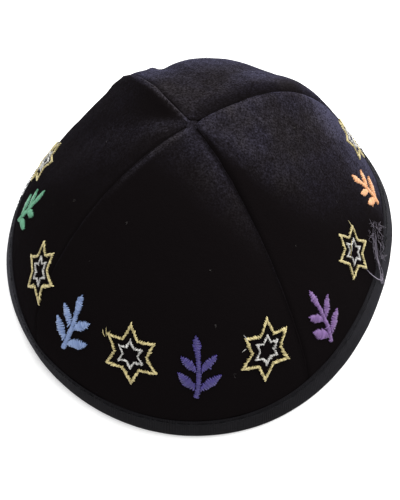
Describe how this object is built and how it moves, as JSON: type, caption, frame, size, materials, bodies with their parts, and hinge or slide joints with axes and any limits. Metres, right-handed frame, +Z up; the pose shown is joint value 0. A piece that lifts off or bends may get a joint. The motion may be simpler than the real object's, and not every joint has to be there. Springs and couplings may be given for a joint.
{
  "type": "velvet skullcap",
  "caption": "Soft domed velvet skullcap of sewn panels crossing at the crown, with a folded rim tape and a ring of embroidered star and sprig motifs, open below for a head.",
  "frame": {"origin": "centre of the cap's box on the plane that its rim rests on", "axes": "+Z up through the crown, -Y towards the front of the cap as the picture shows it, +X to its right"},
  "size_m": [0.1677, 0.1723, 0.0753],
  "materials": {
    "velvet": "black velvet with a blue-violet bloom on its pile",
    "rim_tape": "ribbed charcoal tape",
    "gold_thread": "shiny gold embroidery thread",
    "silver_thread": "shiny silver embroidery thread",
    "indigo_thread": "indigo satin stitch",
    "light_blue_thread": "light blue satin stitch",
    "violet_thread": "violet satin stitch",
    "green_thread": "green satin stitch",
    "orange_thread": "orange satin stitch"
  },
  "bodies": {
    "root": {"front_panel": "velvet", "right_panel": "velvet", "back_panel": "velvet", "left_panel": "velvet", "rim_binding": "rim_tape", "star_1_outline": "gold_thread", "star_2_outline": "gold_thread", "star_3_outline": "gold_thread", "star_4_outline": "gold_thread", "star_5_outline": "gold_thread", "star_6_outline": "gold_thread", "star_7_outline": "gold_thread", "star_8_outline": "gold_thread", "star_1_centre": "silver_thread", "star_2_centre": "silver_thread", "star_3_centre": "silver_thread", "star_4_centre": "silver_thread", "star_5_centre": "silver_thread", "star_6_centre": "silver_thread", "star_7_centre": "silver_thread", "star_8_centre": "silver_thread", "sprig_1": "indigo_thread", "sprig_2": "violet_thread", "sprig_3": "orange_thread", "sprig_4": "green_thread", "sprig_5": "indigo_thread", "sprig_6": "violet_thread", "sprig_7": "green_thread", "sprig_8": "light_blue_thread"}
  },
  "joints": []
}
